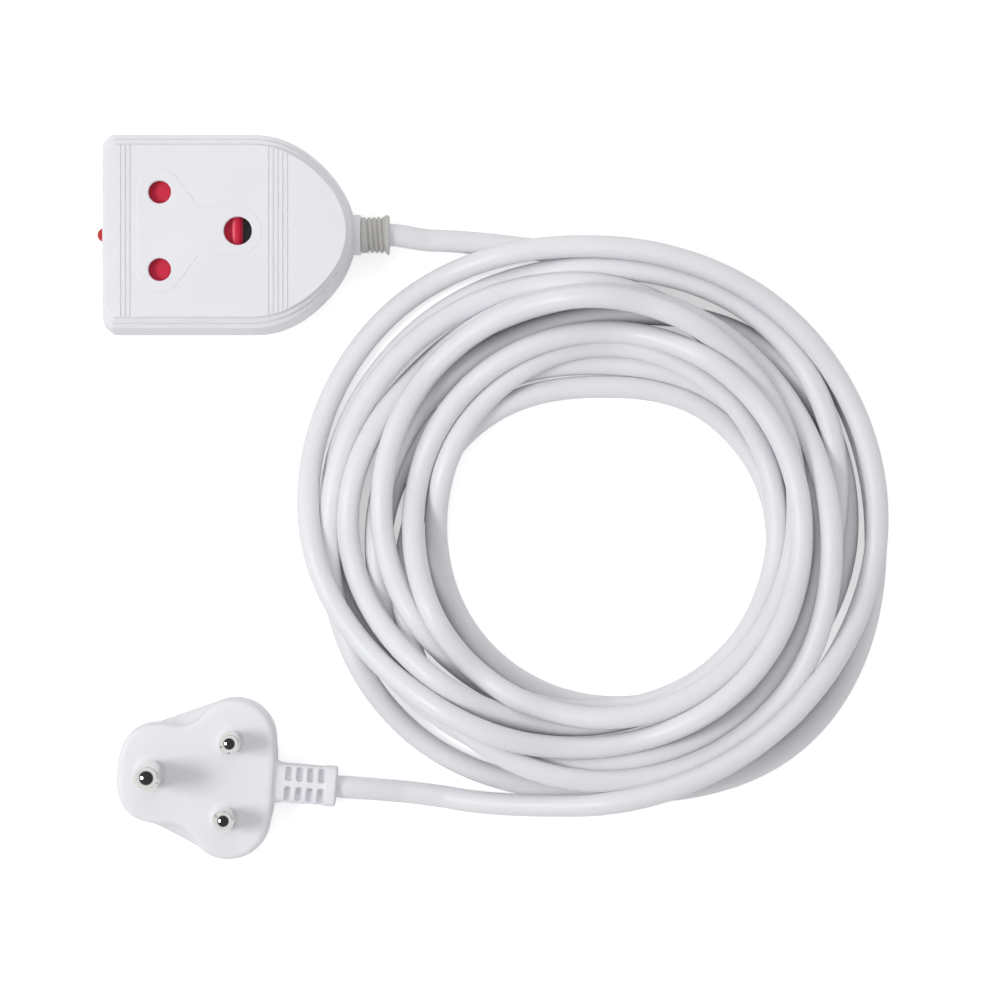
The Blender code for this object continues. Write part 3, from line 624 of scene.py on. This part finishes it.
def socket_rings(levels, corner=CORNER):
    """Rings from (height, inset at the ends, inset at the sides)."""
    return [[(x, y, z) for x, y in socket_outline(dx, dy, corner)] for z, dx, dy in levels]


def build_socket(looks):
    low = PARTING_HEIGHT + PARTING_GAP / 2
    cover = mesh_from("socket_face_shell", *lofted(socket_rings((
        (low, 0.25, 0.25), (low + 0.3, 0.05, 0.1), (low + 0.8, 0.0, 0.05), (28.5, 0.75, 1.35),
        (28.9, 0.85, 1.5), (29.15, 1.05, 1.75), (29.5, 1.35, 2.8), (29.6, 1.4, 2.95),
        (31.4, 1.45, 3.05), (31.8, 1.55, 3.2), (32.05, 1.75, 3.5), (32.4, 2.0, 4.6),
        (32.5, 2.05, 4.75), (34.3, 2.1, 4.85), (34.7, 2.25, 5.0), (34.93, 2.45, 5.2), (35.0, 2.7, 5.45),
    ))))
    hollow = lofted(socket_rings(
        ((low - 5, 2.6, 2.8), (low, 2.6, 2.8), (24.5, 3.7, 5.5), (32.5, 4.5, 6.6)), INNER_CORNER
    ))
    cut(cover, [face_plate()], "UNION")
    cut(cover, [hollow] + hole_shapes() + groove_shapes())
    one_look(cover, looks["shell_white"])
    finish(cover, "socket", "shell_white", "socket_cover")

    top = PARTING_HEIGHT - PARTING_GAP / 2
    base = mesh_from("socket_back_shell", *lofted(socket_rings((
        (0.0, 2.2, 2.4), (0.15, 1.6, 1.8), (0.5, 1.0, 1.15), (1.1, 0.5, 0.6), (2.2, 0.15, 0.2),
        (4.0, 0.0, 0.0), (top - 0.5, 0.0, 0.0), (top, 0.25, 0.25),
    ))))
    recesses = [
        revolved(((0, -1.0), (3.6, -1.0), (3.2, 0.4), (3.2, 3.0), (0, 3.0)), 40, (x, y, 0))
        for x, y in HOUSING_SCREWS
    ]
    floor = lofted(socket_rings(((2.2, 2.6, 2.8), (top + 5, 2.6, 2.8)), INNER_CORNER))
    cut(base, [floor] + recesses)
    one_look(base, looks["shell_white"])
    finish(base, "socket", "shell_white", "socket_base")

    collar = revolved(
        ((4.1, 34.0), (6.6, 34.0), (6.6, 41.0), (6.75, 42.2), (6.7, SLEEVE_START - 0.4),
         (6.45, SLEEVE_START - 0.1), (4.1, SLEEVE_START - 0.05)),
        64, (0, 0, PARTING_HEIGHT), "X",
    )
    neck = mesh_from("socket_neck", *collar, looks["shell_white"], 40)
    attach(neck, "socket")


def face_plate():
    """A raised plate with a soft edge round the three holes."""
    rings = []
    edge = ((-1.0, 0.15), (0.0, 0.15), (0.13, 0.08), (PLATE_RISE, -0.15))
    for rise, grow in edge:
        z = SOCKET_HEIGHT + rise
        radius, end = LINE_PLATE_RADIUS + grow, EARTH_PLATE_RADIUS + grow
        half = []
        for step in range(13):
            turn = math.radians(180 - step * 12.1)
            half.append((LINE_HOLE_X + radius * math.cos(turn), HALF_SPACING + radius * math.sin(turn)))
        half.append((-9.0 + 0.5 * grow, end + 0.25))
        half.append((-7.6 + 0.5 * grow, end))
        for step in range(13):
            turn = math.radians(90 - step * 7.5)
            half.append((EARTH_HOLE_X + end * math.cos(turn), end * math.sin(turn)))
        outline = half + [(x, -y) for x, y in reversed(half[:-1])]
        rings.append([(x, y, z) for x, y in outline])
    return lofted(rings)


def hole_shapes():
    """The three pin holes with rounded mouths."""
    shapes = []
    top = SOCKET_HEIGHT + PLATE_RISE
    ways = (
        (LINE_HOLE_X, HALF_SPACING, LINE_HOLE_RADIUS),
        (LINE_HOLE_X, -HALF_SPACING, LINE_HOLE_RADIUS),
        (EARTH_HOLE_X, 0.0, EARTH_HOLE_RADIUS),
    )
    for x, y, radius in ways:
        profile = [(0, HOLE_FLOOR), (radius, HOLE_FLOOR)]
        for step in range(5):
            turn = math.pi / 2 * step / 4
            flare, drop = 1 - math.cos(turn), 1 - math.sin(turn)
            profile.append((radius + MOUTH_ROUND * flare, top - MOUTH_ROUND * drop))
        profile += [(radius + 0.6, top + 0.02), (radius + 0.6, 38.0), (0, 38.0)]
        shapes.append(revolved(profile, 64, (x, y, 0)))
    return shapes


def groove_shapes():
    """Shallow V grooves across the face."""
    shapes = []
    flank = ((0.42, 36.0), (0.42, 35.02), (0.3, 34.85), (0.1, 34.45))  # half-width at a height
    for first, count in (LEFT_GROOVES, RIGHT_GROOVES):
        for index in range(count):
            x = first + index * GROOVE_PITCH
            section = [(x - half, z) for half, z in flank]
            section += [(x + half, z) for half, z in reversed(flank)]
            shapes.append(lofted([[(a, y, z) for a, z in section] for y in (-40.0, 40.0)]))
    return shapes


def build_sleeve(look):
    """The ribbed grey sleeve, its ribs leaning slightly."""
    low, high = CABLE_RADIUS + 0.1, SLEEVE_RADIUS
    profile = [(low, SLEEVE_START), (high - 0.25, SLEEVE_START)]
    profile += [(high, SLEEVE_START + 0.25), (high, SLEEVE_START + SLEEVE_BAND)]
    groove = ((0.12, 0.25), (0.3, 0.75), (0.55, 0.78), (0.72, 0.3))  # depth at a distance
    crest = ((0.9, 0.05), (1.25, 0.0), (1.5, 0.05))
    for rib in range(SLEEVE_RIBS):
        start = SLEEVE_START + SLEEVE_BAND + rib * RIB_PITCH
        for along, depth in groove + crest:
            profile.append((high + 0.12 * rib / 3 - depth, start + along))
    ring = SLEEVE_END - 1.3
    profile += [(6.1, ring), (6.5, ring + 0.15), (6.6, ring + 0.45), (6.6, ring + 0.9)]
    profile += [(6.4, SLEEVE_END - 0.1), (6.1, SLEEVE_END), (low, SLEEVE_END)]
    points, faces = revolved(profile, 72, (0, 0, PARTING_HEIGHT), "X")
    middle = (SLEEVE_START + SLEEVE_END) / 2
    leaning = []
    for x, y, z in points:
        share = max(0.0, 1 - abs(x - middle) / (middle - SLEEVE_START))
        leaning.append((x - 0.09 * y * min(1.0, 2.5 * share), y, z))
    sleeve = mesh_from("ribbed_sleeve", leaning, faces, look, 50)
    finish(sleeve, "socket", "sleeve_grey", "strain_relief_sleeve")


def build_lens(look):
    """The indicator's dome, with a flange inside the shell."""
    tip = SOCKET_LEFT - LENS_REACH
    profile = [(0, tip)]
    for step in range(1, 9):
        turn = math.pi / 2 * step / 8
        profile.append((LENS_RADIUS * math.sin(turn), tip + LENS_RADIUS * (1 - math.cos(turn))))
    near, far = SOCKET_LEFT + 3.3, SOCKET_LEFT + 4.6
    profile += [(LENS_RADIUS, near), (FLANGE_RADIUS, near), (FLANGE_RADIUS, far), (0, far)]
    lens = mesh_from("indicator_dome", *revolved(profile, 40, (0, 0, PARTING_HEIGHT), "X"), look, 40)
    finish(lens, "socket", "lens_red", "indicator_lens")


def build_shutter(look):
    """The sliding plate seen through the holes, with a rounded ramp under the earth hole."""
    ramp = EARTH_HOLE_X - 1.5
    outline = (
        (-26.2, 7.4), (-19.0, 7.4), (-19.0, -7.4), (-26.2, -7.4), (-26.2, -17.8), (-17.2, -17.8),
        (-14.0, -9.0), (-8.0, -5.4), (ramp, -5.4), (ramp, 5.4), (-8.0, 5.4), (-14.0, 9.0),
        (-17.2, 17.8), (-26.2, 17.8),
    )
    plate = mesh_from("shutter_plate", *prism(outline, 29.5, 31.0))
    slope = ((-0.6, 29.6), (3.0, 29.6), (2.9, 30.2), (2.2, 31.4), (1.3, 31.95), (0.3, 32.0), (-0.6, 31.6))
    sides = (-RAMP_HALF_WIDTH, RAMP_HALF_WIDTH)
    cut(plate, [lofted([[(ramp + x, y, z) for x, z in slope] for y in sides])], "UNION")
    one_look(plate, look)
    finish(plate, "shutter", "shutter_red", "shutter")


def build_screws(look):
    for number, (x, y) in enumerate(HOUSING_SCREWS, 1):
        head = ((0, 1.0), (2.0, 1.0), (2.5, 1.15), (2.7, 1.45), (2.7, 2.4))
        profile = head + ((1.35, 2.9), (1.35, 20.0), (0, 21.5))
        screw = mesh_from(f"case_screw_{number}", *revolved(profile, 40, (x, y, 0)))
        cross = [
            block((x - CROSS_REACH, x + CROSS_REACH), (y - CROSS_HALF_WIDTH, y + CROSS_HALF_WIDTH), (0, 1.8)),
            block((x - CROSS_HALF_WIDTH, x + CROSS_HALF_WIDTH), (y - CROSS_REACH, y + CROSS_REACH), (0, 1.8)),
        ]
        cut(screw, cross)
        one_look(screw, look)
        finish(screw, "socket", "steel", f"housing_screw_{number}")


# ---------------------------------------------------------------- plug


def plug_outline(inset, scoop):
    """The plug's plan: a broad earth lobe, two line lobes and scooped flanks."""
    upper = []
    for step in range(22):
        turn = math.radians(180 - step * 4)
        across = (EARTH_LOBE_LENGTH - inset) * abs(math.cos(turn)) ** SQUARENESS
        side = (EARTH_LOBE_WIDTH - inset) * math.sin(turn) ** SQUARENESS
        upper.append((EARTH_LOBE_X - across, side))
    join, lobe, reach = Vector(upper[-1]), Vector(LINE_LOBE), LINE_LOBE_RADIUS - inset
    arrive = math.radians(FLANK_ARRIVES)
    land = lobe + reach * Vector((math.cos(arrive), math.sin(arrive)))
    for step in range(1, 24):
        t = step / 24
        dip = scoop * math.sin(math.pi * t) ** 1.7
        upper.append(tuple(join.lerp(land, t) + dip * Vector((0.35, -1))))
    for step in range(28):
        turn = arrive * (1 - step / 27)
        upper.append(tuple(lobe + reach * Vector((math.cos(turn), math.sin(turn)))))
    for step in range(1, 8):
        t = step / 8
        upper.append((14.4 - inset + 0.8 * math.sin(math.pi / 2 * t), 13.2 - 8.2 * t))
    return upper + [(x, -y) for x, y in reversed(upper[1:])]


def plug_level(z):
    """(inset, scoop) of the plug's outline at a height."""
    if z < BOTTOM_EDGE:
        inset = BOTTOM_EDGE * (1 - math.sqrt(1 - (1 - z / BOTTOM_EDGE) ** 2))
    else:
        inset = 0.6 * max(0.0, (z - 8.0) / 10.0)
    if z > PLUG_HEIGHT - TOP_EDGE:
        part = (z - PLUG_HEIGHT + TOP_EDGE) / TOP_EDGE
        inset += TOP_EDGE * (1 - math.sqrt(max(0.0, 1 - part**2)))
    share = min(1.0, max(0.0, (z - BOTTOM_EDGE) / 11.0))
    return inset, FLANK_SCOOP * share * share * (3 - 2 * share)


def relief_shape():
    """The slotted strain relief: a rounded square bar that flares into the body."""
    rings = []
    profile = ((6.0, 3.0), (12.0, 1.9), (13.6, 1.2), (15.0, 0.6), (16.4, 0.2), (17.6, 0.0))
    profile += ((RELIEF_END - 4.2, 0.0), (RELIEF_END - 3.9, 0.25))
    profile += ((RELIEF_END - 0.4, 0.3), (RELIEF_END, 0.0))
    for x, grow in profile:
        half = RELIEF_HALF_WIDTH - 0.25 + grow
        ring = []
        for step in range(64):
            turn = 2 * math.pi * (step + 0.5) / 64
            across = math.copysign(abs(math.cos(turn)) ** RELIEF_SQUARENESS, math.cos(turn))
            above = math.copysign(abs(math.sin(turn)) ** RELIEF_SQUARENESS, math.sin(turn))
            level = PLUG_CABLE_HEIGHT + half * above
            ring.append((x, half * across, min(max(level, 0.1), 17.0)))
        rings.append(ring)
    bar = mesh_from("relief_bar", *lofted(rings))
    gaps = []
    side_levels = (PLUG_CABLE_HEIGHT - 3.4, PLUG_CABLE_HEIGHT + 3.4)
    for index in range(WINDOWS):
        x = FIRST_WINDOW + WINDOW_PITCH * index
        width = (x - WINDOW_HALF_WIDTH, x + WINDOW_HALF_WIDTH)
        for span in ((1.05, 5.6), (-5.6, -1.05)):
            for levels in ((12.0, 30.0), (-10.0, 5.0)):
                gaps.append(block(width, span, levels))
        for side in ((5.4, 20.0), (-20.0, -5.4)):
            gaps.append(block(width, side, side_levels))
    cut(bar, gaps)
    return bar


def pin_ways():
    """Centre, radius and length of the live, neutral and earth pins in the plug's frame."""
    return (
        ("live", 0.0, HALF_SPACING, LINE_PIN_RADIUS, LINE_PIN_LENGTH),
        ("neutral", 0.0, -HALF_SPACING, LINE_PIN_RADIUS, LINE_PIN_LENGTH),
        ("earth", -EARTH_OFFSET, 0.0, EARTH_PIN_RADIUS, EARTH_PIN_LENGTH),
    )


def build_plug(looks, plug_matrix):
    heights = [0.0, 0.08, 0.3, 0.7, 1.2, 1.9, 3.0, 4.5, 6, 7.5, 9, 10.5, 12, 13.5, 15, 16.0]
    heights += [16.5, 17.0, 17.4, 17.7, 17.9, PLUG_HEIGHT]
    rings = []
    for z in heights:
        inset, scoop = plug_level(z)
        rings.append([(x, y, z) for x, y in plug_outline(inset, scoop)])
    body = mesh_from("plug_moulding", *lofted(rings))
    bar = relief_shape()
    collars = []
    for _, x, y, radius, _ in pin_ways():
        profile = [(0, 16.0), (radius + 1.35, 16.0), (radius + 1.35, PLUG_HEIGHT + 0.2)]
        profile += [(radius + 1.1, PLUG_HEIGHT + 0.42), (radius + 0.5, PLUG_HEIGHT + 0.45)]
        profile += [(0, PLUG_HEIGHT + 0.45)]
        collars.append(mesh_from("collar", *revolved(profile, 48, (x, y, 0))))
    merge(body, [bar] + collars)
    remesh = body.modifiers.new("one_moulding", "REMESH")
    remesh.mode = "VOXEL"
    remesh.voxel_size = VOXEL * MM
    remesh.use_smooth_shade = True
    smooth = body.modifiers.new("soft_edges", "SMOOTH")
    smooth.factor = 0.5
    smooth.iterations = 4
    apply_modifiers(body)
    body.data.materials.clear()
    body.data.materials.append(looks["plug_white"])
    body.data.shade_smooth()
    body.data.transform(plug_matrix)
    finish(body, "plug", "plug_white", "plug_body")
    for name, x, y, radius, length in pin_ways():
        pin = mesh_from(f"{name}_contact_pin", *pin_shape(x, y, radius, length), looks["nickel"], 40)
        pin.data.transform(plug_matrix)
        finish(pin, "plug", "nickel", f"{name}_pin")


def pin_shape(x, y, radius, length):
    top = PLUG_HEIGHT + length
    nose = radius * PIN_NOSE
    profile = [(0, 9.2), (radius, 9.2), (radius, PLUG_HEIGHT + 0.5), (radius - 0.1, PLUG_HEIGHT + 0.6)]
    profile += [(radius - 0.1, PLUG_HEIGHT + 0.9), (radius, PLUG_HEIGHT + 1.0), (radius, top - nose)]
    for step in range(1, 14):
        turn = math.pi / 2 * step / 14
        profile.append((radius * math.cos(turn), top - nose + nose * math.sin(turn)))
    profile.append((0, top))
    return revolved(profile, 64, (x, y, 0))


def merge(target, others):
    """Adds other objects' meshes to target's and removes them."""
    work = bmesh.new()
    work.from_mesh(target.data)
    for other in others:
        work.from_mesh(other.data)
        bpy.data.objects.remove(other)
    work.to_mesh(target.data)
    work.free()


# ---------------------------------------------------------------- stage


def build_floor():
    bpy.ops.mesh.primitive_plane_add(size=8, location=STAGE_MIDDLE)
    floor = bpy.context.object
    floor.name = "floor"
    look = Look("floor_white", (0.93, 0.93, 0.935), 0.9)
    look.vary_roughness(look.noise(4, 2), 0.85, 0.95)
    look.vary_colour(look.noise(3, 2), 0.995, 1.0)
    seen = look.node("ShaderNodeLightPath")
    glow = look.node("ShaderNodeMath")
    glow.operation = "MULTIPLY"
    glow.inputs[1].default_value = FLOOR_GLOW
    look.link(seen.outputs["Is Camera Ray"], glow.inputs[0])
    look.shader.inputs["Emission Color"].default_value = (1, 1, 1, 1)
    look.link(glow.outputs[0], look.shader.inputs["Emission Strength"])
    floor.data.materials.append(look.material)


def build_world():
    """Even white light; reflections see a dark zenith above a white horizon."""
    world = bpy.data.worlds.new("studio")
    bpy.context.scene.world = world
    world.use_nodes = True
    tree = world.node_tree
    back = tree.nodes["Background"]
    place = tree.nodes.new("ShaderNodeTexCoord")
    parts = tree.nodes.new("ShaderNodeSeparateXYZ")
    ramp = tree.nodes.new("ShaderNodeValToRGB")
    ramp.color_ramp.elements[0].position = 0.5
    ramp.color_ramp.elements[0].color = (1, 1, 1, 1)
    ramp.color_ramp.elements[1].position = 0.66
    ramp.color_ramp.elements[1].color = (0.05, 0.05, 0.055, 1)
    seen = tree.nodes.new("ShaderNodeLightPath")
    mix = tree.nodes.new("ShaderNodeMix")
    mix.data_type = "RGBA"
    mix.inputs[6].default_value = (1, 1, 1, 1)
    tree.links.new(place.outputs["Generated"], parts.inputs["Vector"])
    tree.links.new(parts.outputs["Z"], ramp.inputs["Fac"])
    tree.links.new(seen.outputs["Is Glossy Ray"], mix.inputs[0])
    tree.links.new(ramp.outputs["Color"], mix.inputs[7])
    tree.links.new(mix.outputs[2], back.inputs["Color"])
    strength = tree.nodes.new("ShaderNodeMapRange")
    strength.inputs["To Min"].default_value = WORLD_STRENGTH
    strength.inputs["To Max"].default_value = GLOSSY_WORLD_STRENGTH
    tree.links.new(seen.outputs["Is Glossy Ray"], strength.inputs["Value"])
    tree.links.new(strength.outputs["Result"], back.inputs["Strength"])


def build_camera():
    """Looks straight down, from above the middle of the whole lead."""
    camera = bpy.data.cameras.new("camera")
    camera.lens = CAMERA_LENS
    camera.sensor_width = 36
    camera.clip_end = 20
    view = bpy.data.objects.new("camera", camera)
    view.location = (CAMERA_OVER[0] * MM, CAMERA_OVER[1] * MM, CAMERA_HEIGHT * MM)
    bpy.context.scene.collection.objects.link(view)
    bpy.context.scene.camera = view
    bpy.context.scene.view_settings.view_transform = "Standard"


def add_light(name, place, size, power, reflected):
    """A square soft light aimed at the middle of the whole lead."""
    light = bpy.data.lights.new(name, "AREA")
    light.size = size
    light.energy = power
    obj = bpy.data.objects.new(name, light)
    obj.location = place
    obj.visible_glossy = reflected
    aim = Vector(STAGE_MIDDLE) - Vector(place)
    obj.rotation_euler = aim.to_track_quat("-Z", "Y").to_euler()
    bpy.context.scene.collection.objects.link(obj)


def dress_cad_nodes(frame, looks):
    """Puts the materials on the CAD nodes that stay: the pieces inside the socket and the plug."""
    slots = {entry["node"]: entry["material_slot"] for entry in frame["record"]["subparts"]}
    for name, node in frame["nodes"].items():
        node.data.materials.clear()
        node.data.materials.append(looks[slots[name]])


def plug_transform(unit):
    """Where the plug lies, with lengths in millimetres times unit."""
    shift = Matrix.Translation(Vector((*PLUG_PLACE, 0)) * unit)
    return shift @ Euler((0, 0, PLUG_TURN)).to_matrix().to_4x4()


for spare in list(bpy.data.objects):
    bpy.data.objects.remove(spare)
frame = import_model()
looks = build_looks()
dress_cad_nodes(frame, looks)
build_cable(looks["cable_white"], plug_transform(1.0))
build_socket(looks)
build_sleeve(looks["sleeve_grey"])
build_lens(looks["lens_red"])
build_shutter(looks["shutter_red"])
build_screws(looks["steel"])
build_plug(looks, plug_transform(MM))
build_floor()
build_world()
for light in LIGHTS:
    add_light(*light)
build_camera()
